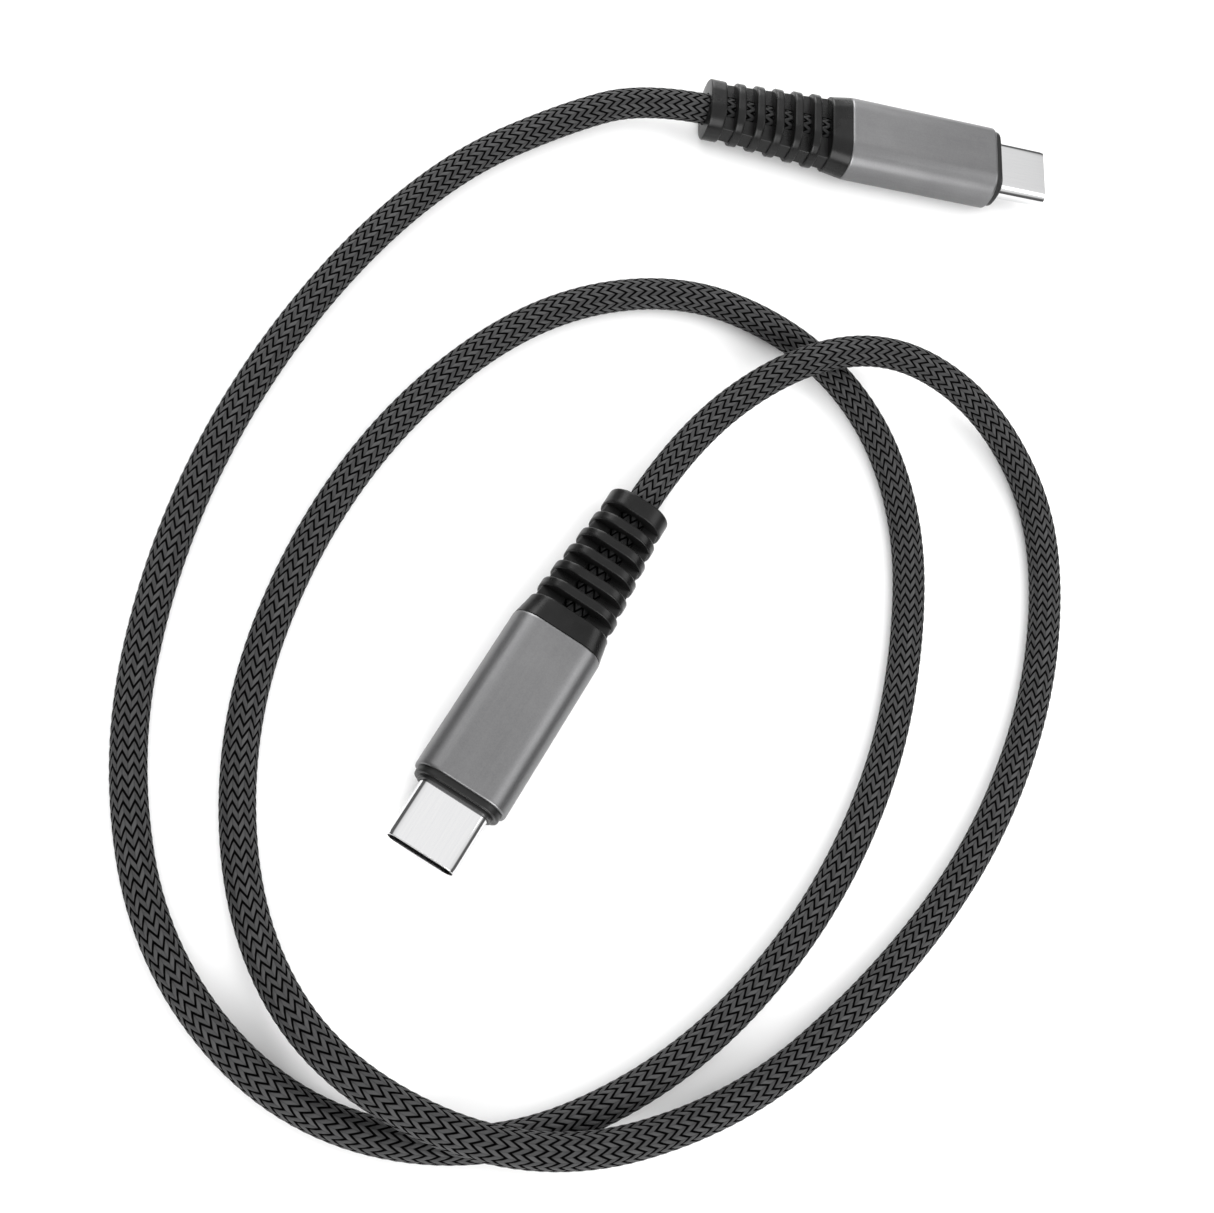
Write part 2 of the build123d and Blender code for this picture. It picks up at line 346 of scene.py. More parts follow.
def mesh_from_tree(tree, name, values):
    """Runs a tree once with these values and returns what it made as a plain mesh."""
    carrier = bpy.data.objects.new(name, bpy.data.meshes.new(name + "_start"))
    bpy.context.collection.objects.link(carrier)
    modifier = carrier.modifiers.new(tree.name, "NODES")
    modifier.node_group = tree
    for item in tree.interface.items_tree:
        if item.item_type == "SOCKET" and item.in_out == "INPUT":
            modifier[item.identifier] = values[item.name]
    depsgraph = bpy.context.evaluated_depsgraph_get()
    mesh = bpy.data.meshes.new_from_object(carrier.evaluated_get(depsgraph))
    bpy.data.objects.remove(carrier)
    mesh.name = name
    one_finish(mesh, values["Finish"])
    return mesh


# %% The braid's tree
ROWS_PER_BAND = 4
COLUMNS_PER_ZIGZAG = 4
GROOVE_SHARPNESS = 6.0
WELD_DISTANCE = 0.001 * MM

braid_tree, braid_inputs = new_tree("woven sleeve", {
    "Line": "Object", "Radius": "Float", "Band length": "Float", "Zigzags": "Int", "Rise": "Float",
    "Groove share": "Float", "Groove depth": "Float", "Turn dip": "Float", "Finish": "Material"})


def grid_counts(tree, length):
    """How many whole bands fit along the line, and the grid's rows and columns."""
    bands = maths(tree, "ROUND", maths(tree, "DIVIDE", length, braid_inputs["Band length"]))
    rows = maths(tree, "MULTIPLY_ADD", bands, ROWS_PER_BAND, 1.0)
    columns = maths(tree, "MULTIPLY_ADD", braid_inputs["Zigzags"], COLUMNS_PER_ZIGZAG, 1.0)
    return bands, rows, columns


def steps_across(tree, coordinate, count):
    """Turns a grid coordinate from -0.5 to 0.5 into a whole step from 0 to count - 1."""
    share = maths(tree, "ADD", coordinate, 0.5)
    return maths(tree, "ROUND", maths(tree, "MULTIPLY", share, maths(tree, "SUBTRACT", count, 1.0)))


def place_in_band(tree, row):
    """Which band a row is in, and how far through it, with the shoulders close to the groove."""
    band = maths(tree, "FLOOR", maths(tree, "DIVIDE", maths(tree, "ADD", row, 0.5), ROWS_PER_BAND))
    part = maths(tree, "SUBTRACT", row, maths(tree, "MULTIPLY", band, ROWS_PER_BAND))
    from_crown = maths(tree, "SUBTRACT", part, ROWS_PER_BAND / 2)
    shoulder = maths(tree, "SUBTRACT", 0.5, braid_inputs["Groove share"])
    phase = maths(tree, "MULTIPLY_ADD", from_crown, shoulder, 0.5)
    return band, maths(tree, "MULTIPLY", phase, maths(tree, "GREATER_THAN", part, 0.5))


def profile_radius(tree, phase, turning):
    """The sleeve's radius: full at the crown, pinched at the groove, and a little less at each turn."""
    off_crown = maths(tree, "ABSOLUTE", maths(tree, "MULTIPLY_ADD", phase, 2.0, -1.0))
    pinch = maths(tree, "POWER", off_crown, GROOVE_SHARPNESS)
    groove = maths(tree, "MULTIPLY", pinch, braid_inputs["Groove depth"])
    dip = maths(tree, "MULTIPLY", turning, braid_inputs["Turn dip"])
    pinched = maths(tree, "SUBTRACT", braid_inputs["Radius"], groove)
    return maths(tree, "SUBTRACT", pinched, dip)


def step_from_middle(tree, value, factor):
    """A value from 0 to 1 counted from its middle, and scaled."""
    return maths(tree, "MULTIPLY", maths(tree, "SUBTRACT", value, 0.5), factor)


# %% Where a row lies, and how it wraps
def slid_along(tree, row, rows, in_bands, up_and_down, bands, length):
    """How far along the line a point lies, and 1 for every row but the first and the last."""
    slide = step_from_middle(tree, up_and_down, braid_inputs["Rise"])
    along = maths(tree, "MULTIPLY_ADD", in_bands, maths(tree, "DIVIDE", length, bands), slide)
    along = maths(tree, "MINIMUM", maths(tree, "MAXIMUM", along, 0.0), length)

    # The first and last rows draw in to a point on the line, which closes the two ends.
    after_start = maths(tree, "GREATER_THAN", row, 0.5)
    at_end = maths(tree, "GREATER_THAN", row, maths(tree, "SUBTRACT", rows, 1.5))
    between = maths(tree, "SUBTRACT", after_start, at_end)
    along = maths(tree, "MULTIPLY_ADD", along, between, maths(tree, "MULTIPLY", length, at_end))
    return along, between


def scaled(tree, vector, factor):
    """A vector made longer or shorter."""
    return put(tree, "ShaderNodeVectorMath", operation="SCALE",
               inputs={0: vector, "Scale": factor}).outputs[0]


def round_the_line(tree, curve, along, radius, angle):
    """The place that is this far along the line, and at this radius and angle round it."""
    sample = put(tree, "GeometryNodeSampleCurve", {"Curves": curve, "Length": along}, mode="LENGTH")
    across = put(tree, "ShaderNodeVectorMath", operation="CROSS_PRODUCT",
                 inputs={0: sample.outputs["Tangent"], 1: sample.outputs["Normal"]}).outputs[0]
    side = scaled(tree, across, maths(tree, "MULTIPLY", radius, maths(tree, "SINE", angle)))
    lift = scaled(tree, sample.outputs["Normal"],
                  maths(tree, "MULTIPLY", radius, maths(tree, "COSINE", angle)))
    out = put(tree, "ShaderNodeVectorMath", operation="ADD", inputs={0: side, 1: lift}).outputs[0]
    return put(tree, "ShaderNodeVectorMath", operation="ADD",
               inputs={0: sample.outputs["Position"], 1: out}).outputs[0]


# %% Build the braid's tree
def build_braid_tree(tree):
    """Fills the tree: a grid, its rows slid into zigzags, wrapped round the line."""
    source = put(tree, "GeometryNodeObjectInfo", {"Object": braid_inputs["Line"]},
                 transform_space="ORIGINAL")
    upright = put(tree, "GeometryNodeSetCurveNormal", {"Curve": source.outputs["Geometry"]},
                  mode="Z_UP")
    curve = upright.outputs[0]
    length = put(tree, "GeometryNodeCurveLength", {"Curve": curve}).outputs[0]
    bands, rows, columns = grid_counts(tree, length)
    grid = put(tree, "GeometryNodeMeshGrid", {
        "Size X": 1.0, "Size Y": 1.0, "Vertices X": rows, "Vertices Y": columns})
    position = put(tree, "GeometryNodeInputPosition").outputs[0]
    where = put(tree, "ShaderNodeSeparateXYZ", {"Vector": position})
    row = steps_across(tree, where.outputs["X"], rows)
    column = steps_across(tree, where.outputs["Y"], columns)

    band, phase = place_in_band(tree, row)
    in_bands = maths(tree, "ADD", band, phase)
    zigzag = maths(tree, "DIVIDE", column, COLUMNS_PER_ZIGZAG)
    up_and_down = maths(tree, "PINGPONG", maths(tree, "MULTIPLY", zigzag, 2.0), 1.0)
    along, between = slid_along(tree, row, rows, in_bands, up_and_down, bands, length)
    turning = maths(tree, "ABSOLUTE", step_from_middle(tree, up_and_down, 2.0))
    radius = maths(tree, "MULTIPLY", profile_radius(tree, phase, turning), between)
    angle = maths(tree, "MULTIPLY", maths(tree, "ADD", where.outputs["Y"], 0.5), math.tau)
    surface = round_the_line(tree, curve, along, radius, angle)

    pattern = put(tree, "ShaderNodeCombineXYZ", {"X": in_bands, "Y": zigzag}).outputs[0]
    mapped = put(tree, "GeometryNodeStoreNamedAttribute", data_type="FLOAT2", domain="CORNER", inputs={
        "Geometry": grid.outputs["Mesh"], "Name": "UVMap", "Value": pattern})
    wrapped = put(tree, "GeometryNodeSetPosition", {"Geometry": mapped.outputs[0], "Position": surface})
    welded = put(tree, "GeometryNodeMergeByDistance", {
        "Geometry": wrapped.outputs[0], "Distance": WELD_DISTANCE})
    outwards = put(tree, "GeometryNodeFlipFaces", {"Mesh": welded.outputs[0]})
    end_tree(tree, outwards.outputs[0], braid_inputs["Finish"])


build_braid_tree(braid_tree)
print("woven sleeve:", len(braid_tree.nodes), "nodes")

# %% [markdown]
# ## Finishes
#
# Two effects are shared, so each is a shader group that is built once. *Fine grain* is the very small
# roughness that a mould or a bead blaster leaves, with a slow mottle for handling and dust. *Drawn
# lines* are the faint streaks that metal keeps along the direction in which it was drawn or
# extruded. Both put out masks and a normal only, and each finish decides what to do with them. They
# read a place in metres, so their scale is true on every piece.


# %% Shared shader groups
def new_group(name, inputs, outputs):
    """A shader group with named float or vector inputs and its outputs."""
    group = bpy.data.node_groups.new(name, "ShaderNodeTree")
    for label, kind in inputs.items():
        group.interface.new_socket(label, in_out="INPUT", socket_type="NodeSocket" + kind)
    for label, kind in outputs.items():
        group.interface.new_socket(label, in_out="OUTPUT", socket_type="NodeSocket" + kind)
    return group, put(group, "NodeGroupInput").outputs


def fine_grain_group():
    """A small even roughness, and a slow mottle that is far larger than the grain."""
    group, given = new_group(
        "fine grain",
        {"Place": "Vector", "Grain size": "Float", "Depth": "Float", "Mottle size": "Float"},
        {"Grain": "Float", "Mottle": "Float", "Normal": "Vector"})
    grain_scale = maths(group, "DIVIDE", 1.0, given["Grain size"])
    mottle_scale = maths(group, "DIVIDE", 1.0, given["Mottle size"])
    grain = put(group, "ShaderNodeTexNoise", {"Vector": given["Place"], "Scale": grain_scale,
                                              "Detail": 3.0, "Roughness": 0.6})
    mottle = put(group, "ShaderNodeTexNoise", {"Vector": given["Place"], "Scale": mottle_scale,
                                               "Detail": 4.0, "Roughness": 0.65})
    bump = put(group, "ShaderNodeBump", {"Height": grain.outputs[0], "Distance": given["Depth"],
                                         "Strength": 1.0})
    put(group, "NodeGroupOutput", {"Grain": grain.outputs[0], "Mottle": mottle.outputs[0],
                                   "Normal": bump.outputs[0]})
    return group


def drawn_lines_group():
    """Noise that is stretched along x, which leaves thin streaks."""
    group, given = new_group(
        "drawn lines",
        {"Place": "Vector", "Line width": "Float", "Stretch": "Float", "Depth": "Float"},
        {"Streak": "Float", "Normal": "Vector"})
    squash = put(group, "ShaderNodeCombineXYZ", {
        "X": maths(group, "DIVIDE", 1.0, given["Stretch"]), "Y": 1.0, "Z": 1.0}).outputs[0]
    stretched = put(group, "ShaderNodeVectorMath", operation="MULTIPLY",
                    inputs={0: given["Place"], 1: squash}).outputs[0]
    scale = maths(group, "DIVIDE", 1.0, given["Line width"])
    lines = put(group, "ShaderNodeTexNoise", {"Vector": stretched, "Scale": scale, "Detail": 5.0,
                                              "Roughness": 0.7})
    bump = put(group, "ShaderNodeBump", {"Height": lines.outputs[0], "Distance": given["Depth"],
                                         "Strength": 1.0})
    put(group, "NodeGroupOutput", {"Streak": lines.outputs[0], "Normal": bump.outputs[0]})
    return group


fine_grain = fine_grain_group()
drawn_lines = drawn_lines_group()
print("shared groups:", fine_grain.name, "and", drawn_lines.name)


# %% Helpers for finishes
def new_finish(name, metallic=0.0, **fixed):
    """A material with a Principled shader. Values that are the same all over are set on its sockets."""
    material = bpy.data.materials.new(name)
    material.use_nodes = True
    shader = material.node_tree.nodes["Principled BSDF"]
    shader.inputs["Metallic"].default_value = metallic
    for label, value in fixed.items():
        shader.inputs[label.replace("_", " ")].default_value = value
    return material, material.node_tree, shader


def use_group(tree, group, inputs):
    """Places a shader group in a material with its own values."""
    made = put(tree, "ShaderNodeGroup", node_tree=group)
    for label, value in inputs.items():
        if isinstance(value, bpy.types.NodeSocket):
            tree.links.new(value, made.inputs[label])
        else:
            made.inputs[label].default_value = value
    return made.outputs


def spread(tree, factor, low, high, start=0.3, end=0.7):
    """Maps a noise value between start and end onto low to high."""
    return put(tree, "ShaderNodeMapRange", {"Value": factor, "From Min": start, "From Max": end,
                                            "To Min": low, "To Max": high}).outputs[0]


def blend_colours(tree, factor, low, high):
    """The low colour where factor is 0, and the high one where it is 1."""
    sockets = {"factor": 0, "low": 6, "high": 7, "colour out": 2}
    made = put(tree, "ShaderNodeMix", {sockets["factor"]: factor}, data_type="RGBA")
    for label, value in (("low", low), ("high", high)):
        if isinstance(value, bpy.types.NodeSocket):
            tree.links.new(value, made.inputs[sockets[label]])
        else:
            made.inputs[sockets[label]].default_value = (*value, 1.0)
    return made.outputs[sockets["colour out"]]


def object_place(tree):
    """The place in the frame, which the solid nodes' finishes read."""
    return put(tree, "ShaderNodeTexCoord").outputs["Object"]


def plug_place(tree):
    """The place in the plug's own directions, which the rebuilt pieces carry as an attribute."""
    return put(tree, "ShaderNodeAttribute", attribute_name="plug_place").outputs["Vector"]


# %% [markdown]
# The nose and the strain relief are moulded and black. A mould leaves a surface that is even but never
# perfect, and on black that shows only in the reflections, so their colour hardly changes and their
# gloss changes a little more. The same recipe with other colours does for the board, the chip, the
# wires and the other plastics inside. One flat black with one gloss would look painted on.


# %% Moulded plastics and rubbers
def moulded(name, dark, light, roughness, place=object_place, **fixed):
    """A moulded surface: fine grain, with a slow mottle in its colour and its gloss."""
    material, tree, shader = new_finish(name, **fixed)
    grain = use_group(tree, fine_grain, {"Place": place(tree), "Grain size": 0.12 * MM,
                                         "Depth": 0.004 * MM, "Mottle size": 3.5 * MM})
    tree.links.new(blend_colours(tree, spread(tree, grain["Mottle"], 0.0, 1.0), dark, light),
                   shader.inputs["Base Color"])
    tree.links.new(spread(tree, grain["Mottle"], roughness - 0.05, roughness + 0.07),
                   shader.inputs["Roughness"])
    tree.links.new(grain["Normal"], shader.inputs["Normal"])
    return material


# %% [markdown]
# The sleeve is aluminium that was extruded, blasted with fine beads and dyed grey. Blasting takes the
# gloss away evenly, but faint lines along the extrusion stay, so the finish has both shared effects:
# streaks that shift the tone a little, and a grain that breaks up the reflection. The plug's shell is
# bright drawn steel, almost a mirror, with hair-thin lines along it.


# %% Metals
def satin_aluminium():
    """Blasted and dyed extrusion: streaks, grain and mottle together shift the tone."""
    material, tree, shader = new_finish("satin_aluminium", metallic=1.0)
    place = plug_place(tree)
    streaks = use_group(tree, drawn_lines, {"Place": place, "Line width": 0.5 * MM, "Stretch": 45.0,
                                            "Depth": 0.004 * MM})
    grain = use_group(tree, fine_grain, {"Place": place, "Grain size": 0.16 * MM, "Depth": 0.004 * MM,
                                         "Mottle size": 6.0 * MM})
    streak_share, mottle_share, grain_share = 0.25, 0.35, 0.40
    tone = maths(tree, "MULTIPLY", streaks["Streak"], streak_share)
    tone = maths(tree, "MULTIPLY_ADD", grain["Mottle"], mottle_share, tone)
    tone = maths(tree, "MULTIPLY_ADD", grain["Grain"], grain_share, tone)
    dark, light = (0.142, 0.142, 0.145), (0.196, 0.196, 0.198)
    tree.links.new(blend_colours(tree, spread(tree, tone, 0.0, 1.0), dark, light),
                   shader.inputs["Base Color"])
    tree.links.new(spread(tree, streaks["Streak"], 0.39, 0.43), shader.inputs["Roughness"])
    tree.links.new(grain["Normal"], shader.inputs["Normal"])
    return material


def drawn_metal(name, dark, light, roughness, place=object_place):
    """Bright metal with hair-thin lines, too shallow to blur what it mirrors."""
    material, tree, shader = new_finish(name, metallic=1.0)
    streaks = use_group(tree, drawn_lines, {"Place": place(tree), "Line width": 0.2 * MM,
                                            "Stretch": 30.0, "Depth": 0.0001 * MM})
    tree.links.new(blend_colours(tree, spread(tree, streaks["Streak"], 0.0, 1.0), dark, light),
                   shader.inputs["Base Color"])
    tree.links.new(spread(tree, streaks["Streak"], roughness - 0.01, roughness + 0.02),
                   shader.inputs["Roughness"])
    tree.links.new(streaks["Normal"], shader.inputs["Normal"])
    return material


# %% [markdown]
# The braid's finish works in the pattern's own units. The whole part of the UV map's first number
# says which band a point is in, and the rest how far through it. The second number counts zigzags.
# From these come the dark grooves, which are painted shade, the two slants of the legs, one of them
# painted lighter as a sheen, the painted shade where a leg dives under its neighbour, the thin yarns
# that run along each leg, and a small difference from leg to leg. Light reaches the top of a leg but
# not the bottom of a groove, so the grooves are also given less shine, as painted shade.


# %% Yarn pattern
def away_from_half(tree, share):
    """0 where a share from 0 to 1 is in its middle, and 1 at both its ends."""
    return maths(tree, "ABSOLUTE", maths(tree, "MULTIPLY_ADD", share, 2.0, -1.0))


def thin_yarns(tree, across, along, in_band):
    """Soft fibres, and the thin yarns of a leg, which wander a little with the fibres."""
    fibres_across, fibres_along = 16.0, 1.6
    yarns_in_leg, yarn_wander = 7.0, 2.0
    yarn_place = put(tree, "ShaderNodeCombineXYZ", {
        "X": maths(tree, "MULTIPLY", across, fibres_across),
        "Y": maths(tree, "MULTIPLY", along, fibres_along)}).outputs[0]
    fibres = put(tree, "ShaderNodeTexNoise", {"Vector": yarn_place, "Scale": 1.0, "Detail": 3.0,
                                              "Roughness": 0.6}).outputs[0]
    wander = maths(tree, "MULTIPLY", fibres, yarn_wander)
    yarns = maths(tree, "SINE", maths(tree, "MULTIPLY_ADD", in_band, yarns_in_leg * math.tau, wander))
    return fibres, yarns


def leg_tone(tree, band, half_turns, fibres, yarns):
    """How light a point of a leg is: its yarns, its fibres, and what differs from leg to leg."""
    yarn_share, fibre_share, own_share = 0.13, 0.65, 0.35
    leg = put(tree, "ShaderNodeCombineXYZ", {
        "X": maths(tree, "FLOOR", band), "Y": maths(tree, "FLOOR", half_turns)}).outputs[0]
    own = put(tree, "ShaderNodeTexWhiteNoise", {"Vector": leg}, noise_dimensions="3D").outputs["Value"]
    tone = maths(tree, "MULTIPLY", fibres, fibre_share)
    tone = maths(tree, "MULTIPLY_ADD", yarns, yarn_share, tone)
    return maths(tree, "MULTIPLY_ADD", own, own_share, tone)


# %% Braid finish
def woven_yarn(name, brightness):
    """The braid's finish. brightness scales its greys, from black at 0."""
    def grey(value):
        value *= brightness
        return (value, value, value * 1.015)

    material, tree, shader = new_finish(name)
    uv = put(tree, "ShaderNodeUVMap", uv_map="UVMap").outputs[0]
    parts = put(tree, "ShaderNodeSeparateXYZ", {"Vector": uv}).outputs
    in_band = maths(tree, "FRACT", parts["X"])
    off_crown = away_from_half(tree, in_band)
    half_turns = maths(tree, "MULTIPLY", parts["Y"], 2.0)
    off_middle = away_from_half(tree, maths(tree, "FRACT", half_turns))
    slant = maths(tree, "GREATER_THAN", maths(tree, "FRACT", parts["Y"]), 0.5)
    fibres, yarns = thin_yarns(tree, parts["X"], parts["Y"], in_band)
    tone = leg_tone(tree, parts["X"], half_turns, fibres, yarns)

    # Painted sheen: legs of one slant are painted lighter than those of the other, as the yarn's sheen
    # would make them.
    sheen_lit_legs = blend_colours(tree, tone, grey(0.034), grey(0.076))
    sheen_dim_legs = blend_colours(tree, tone, grey(0.027), grey(0.058))
    legs = blend_colours(tree, slant, sheen_lit_legs, sheen_dim_legs)
    # Painted shade: each leg is darkened towards its turns, where it dives under its neighbour.
    shade = spread(tree, off_middle, 0.0, 0.45, start=0.62, end=1.0)
    legs = blend_colours(tree, shade, legs, grey(0.012))
    # Painted shade: the grooves are coloured nearly black for the shade that falls in them, and their
    # shine is turned down the same way below.
    groove = spread(tree, off_crown, 0.0, 1.0, start=0.60, end=0.71)
    tree.links.new(blend_colours(tree, groove, legs, (0.001, 0.001, 0.001)), shader.inputs["Base Color"])
    tree.links.new(spread(tree, fibres, 0.50, 0.68), shader.inputs["Roughness"])
    shine = spread(tree, off_crown, 0.22, 0.0, start=0.45, end=0.70)
    tree.links.new(shine, shader.inputs["Specular IOR Level"])

    relief = maths(tree, "MULTIPLY_ADD", yarns, 0.35, fibres)
    bump = put(tree, "ShaderNodeBump", {"Height": relief, "Distance": 0.03 * MM, "Strength": 0.9})
    tree.links.new(bump.outputs[0], shader.inputs["Normal"])
    return material


# %% [markdown]
# The frame's record names a material slot for every solid node. One table gives each slot its finish,
# so that a piece inside the plug that nobody sees is still made of the right stuff when it is taken
# apart. Giving each node its own material by hand would need forty-three of them.


# %% One finish for each slot of the record
finishes = {
    "braid_fabric": woven_yarn("woven_yarn", 0.93),
    "housing_aluminium": satin_aluminium(),
    "shell_steel": drawn_metal("bright_steel", (0.62, 0.62, 0.63), (0.66, 0.66, 0.66), 0.06,
                               place=plug_place),
    "nose_plastic": moulded("nose_black", (0.006, 0.006, 0.006), (0.010, 0.010, 0.010), 0.34,
                            place=plug_place, Specular_IOR_Level=0.26),
    "boot_rubber": moulded("boot_black", (0.003, 0.003, 0.003), (0.007, 0.007, 0.007), 0.28,
                           place=plug_place, Specular_IOR_Level=0.20),
    "jacket_rubber": moulded("jacket_black", (0.010, 0.010, 0.010), (0.018, 0.018, 0.018), 0.55),
    "lining_plastic": moulded("insulator_black", (0.010, 0.010, 0.011), (0.018, 0.018, 0.019), 0.45),
    "mould_plastic": moulded("inner_mould", (0.55, 0.53, 0.48), (0.66, 0.64, 0.58), 0.45),
    "board_green": moulded("solder_mask", (0.012, 0.09, 0.035), (0.022, 0.14, 0.055), 0.35),
    "chip_black": moulded("chip_package", (0.012, 0.012, 0.012), (0.025, 0.025, 0.025), 0.50),
    "capacitor_tan": moulded("capacitor_ceramic", (0.28, 0.17, 0.09), (0.38, 0.25, 0.14), 0.40),
    "wire_insulation": moulded("wire_coat", (0.35, 0.03, 0.03), (0.45, 0.05, 0.04), 0.40),
    "contact_gold": drawn_metal("gold_flash", (0.72, 0.50, 0.20), (0.86, 0.64, 0.30), 0.18),
    "spring_steel": drawn_metal("stamped_spring", (0.50, 0.50, 0.51), (0.66, 0.66, 0.66), 0.28),
    "can_steel": drawn_metal("tinned_can", (0.52, 0.51, 0.49), (0.66, 0.65, 0.62), 0.30),
}
slot_of = {part["node"]: part["material_slot"] for part in frame["record"]["subparts"]}
for node, finish_slot in slot_of.items():
    for holder in frame["nodes"][node].material_slots:
        holder.material = finishes[finish_slot]
print("finishes:", len(finishes), "on", len(slot_of), "nodes")


# %% [markdown]
# ## The cord
#
# A finished mesh becomes a piece when it rides on a body and stands for the solid nodes under it,
# which are then hidden. The long cord stands for its braid, its jacket and its wires, and its length
# and thickness go with it. The strain reliefs shade the two short ends inside them and their slots
# are narrow, so the same yarn is used there in a darker grey, which is painted shade.


# %% Helper for finished pieces
def show(name, mesh, replaced):
    """Makes a piece of a finished mesh. It rides on the part's one body and stands for its nodes."""
    piece = bpy.data.objects.new(name, mesh)
    bpy.context.collection.objects.link(piece)
    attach(piece, "root")
    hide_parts(*replaced)
    print(name + ":", len(mesh.polygons), "faces")
    return piece


# %% The cord and its two straight ends
braid_values = {
    "Radius": cord_radius, "Band length": 1.27 * MM, "Zigzags": 10, "Rise": 1.08 * MM,
    "Groove share": 0.13, "Groove depth": 0.24 * MM, "Turn dip": 0.05 * MM,
}


def woven_mesh(name, line, finish):
    """The woven sleeve round one line."""
    return mesh_from_tree(braid_tree, name, {"Line": line, "Finish": finish, **braid_values})


cord = show("cord", woven_mesh("cord", cord_line, finishes["braid_fabric"]),
            ["cable_braid", "cable_jacket", "cable_wires"])
bpy.data.objects.remove(cord_line)

# Painted shade: the short ends inside the strain reliefs get the same yarn in a darker grey, for the
# shade of the narrow slots.
painted_shade_yarn = woven_yarn("painted_shade_yarn", 0.35)
lead_middle = (lead_low.x + lead_high.x) / 2
for letter, place in plugs.items():
    ends = [tuple(place @ Vector((x, 0, 0))) for x in (lead_low.x, lead_middle, lead_high.x)]
    straight = smooth_line("end_line_" + letter, ends)
    show("cord_end_" + letter, woven_mesh("cord_end_" + letter, straight, painted_shade_yarn),
         ["cable_end_braid_" + letter])
    bpy.data.objects.remove(straight)

# %% [markdown]
# ## Smooth skins for the plug's outer pieces
#
# Each outer piece is a tube whose cross-section is a rounded rectangle, so each can be made as a
# skin through a row of rings. Its edges are rounded with a few rings that step in along a quarter
# circle. One extra point near each end of a flat side, and one extra ring behind each rounded edge,
# keep the shading of the flats flat. Every vertex also carries its place in the plug's own
# directions, which the finishes read, so that streaks run along the plug whichever way it lies.


# %% Rings and skins
NEAR_FLAT_ENDS = (0.06, 0.94)
RING_BEHIND_EDGE = 0.15 * MM
SHARP_ANGLE = math.radians(38)
SKIN_WELD = 0.0001 * MM


def outline(width, height, corner, steps=8):
    """Points round a rounded rectangle, as (y, z)."""
    flat_y, flat_z = width / 2 - corner, height / 2 - corner
    points = []
    for quarter, (side_y, side_z) in enumerate(((1, 1), (-1, 1), (-1, -1), (1, -1))):
        for step in range(steps + 1):
            angle = math.radians(90 * (quarter + step / steps))
            y = side_y * flat_y + corner * math.cos(angle)
            z = side_z * flat_z + corner * math.sin(angle)
            points.append((y, z))
        along_y = quarter % 2 == 0
        y, z = points[-1]
        for share in NEAR_FLAT_ENDS:
            turned = 1 - 2 * share
            points.append((side_y * flat_y * turned, z) if along_y else (y, side_z * flat_z * turned))
    return points


def ring(x, width, height, corner):
    """The outline as points at one place along the plug."""
    return [(x, y, z) for y, z in outline(width, height, corner)]


def rounded_edge(x_face, into, width, height, corner, radius, steps=4):
    """Rings from the side round to the end face. into is 1 where the piece lies at greater x."""
    rings = [ring(x_face + into * (radius + RING_BEHIND_EDGE), width, height, corner)]
    for step in range(steps + 1):
        angle = math.radians(90 * step / steps)
        inset = radius * (1 - math.cos(angle))
        x = x_face + into * radius * (1 - math.sin(angle))
        rings.append(ring(x, width - 2 * inset, height - 2 * inset, corner - inset))
    return rings


def skin(rings, closed=True):
    """A surface through rings of points. A closed skin's last ring joins its first."""
    maker = bmesh.new()
    rows = [[maker.verts.new(point) for point in points] for points in rings]
    pairs = list(zip(rows, rows[1:]))
    if closed:
        pairs.append((rows[-1], rows[0]))
    for near, far in pairs:
        for i in range(len(near)):
            j = (i + 1) % len(near)
            maker.faces.new((near[i], near[j], far[j], far[i]))
    if not closed:
        maker.faces.new(rows[0])
        maker.faces.new(rows[-1])
    bmesh.ops.remove_doubles(maker, verts=maker.verts, dist=SKIN_WELD)
    bmesh.ops.recalc_face_normals(maker, faces=maker.faces)
    mesh = bpy.data.meshes.new("skin")
    maker.to_mesh(mesh)
    maker.free()
    return mesh


def plug_piece(name, letter, meshes, replaced, finish_slot):
    """Joins skins into one piece, notes each vertex's place in the plug, and stands it in the frame."""
    maker = bmesh.new()
    for mesh in meshes:
        maker.from_mesh(mesh)
    joined = bpy.data.meshes.new(name)
    maker.to_mesh(joined)
    maker.free()
    places = joined.attributes.new("plug_place", "FLOAT_VECTOR", "POINT")
    places.data.foreach_set("vector", [c for v in joined.vertices for c in v.co])
    joined.transform(plugs[letter])
    joined.polygons.foreach_set("use_smooth", [True] * len(joined.polygons))
    joined.set_sharp_from_angle(angle=SHARP_ANGLE)
    one_finish(joined, finishes[finish_slot])
    return show(name, joined, [node + "_" + letter for node in replaced])


# %% Sizes that the solid nodes don't tell
housing_corner, housing_wall, housing_edge = 2.8 * MM, 0.5 * MM, 0.25 * MM
nose_corner, nose_edge, nose_lip = 2.4 * MM, 0.20 * MM, 0.15 * MM
nose_tier, nose_tier_inset = 0.78 * MM, 0.60 * MM
shell_wall, shell_lip = 0.20 * MM, 0.09 * MM
lead_in, drawn_in, ring_before_lead_in = 0.35 * MM, 0.05 * MM, 0.1 * MM
fit_gap = 0.05 * MM


def width_height(low, high):
    """A box's size across the plug."""
    return high.y - low.y, high.z - low.z


def spigot_size():
    """What fits inside the housing with a small gap: width, height and corner."""
    width, height = width_height(housing_low, housing_high)
    inset = housing_wall + fit_gap
    return width - 2 * inset, height - 2 * inset, housing_corner - inset


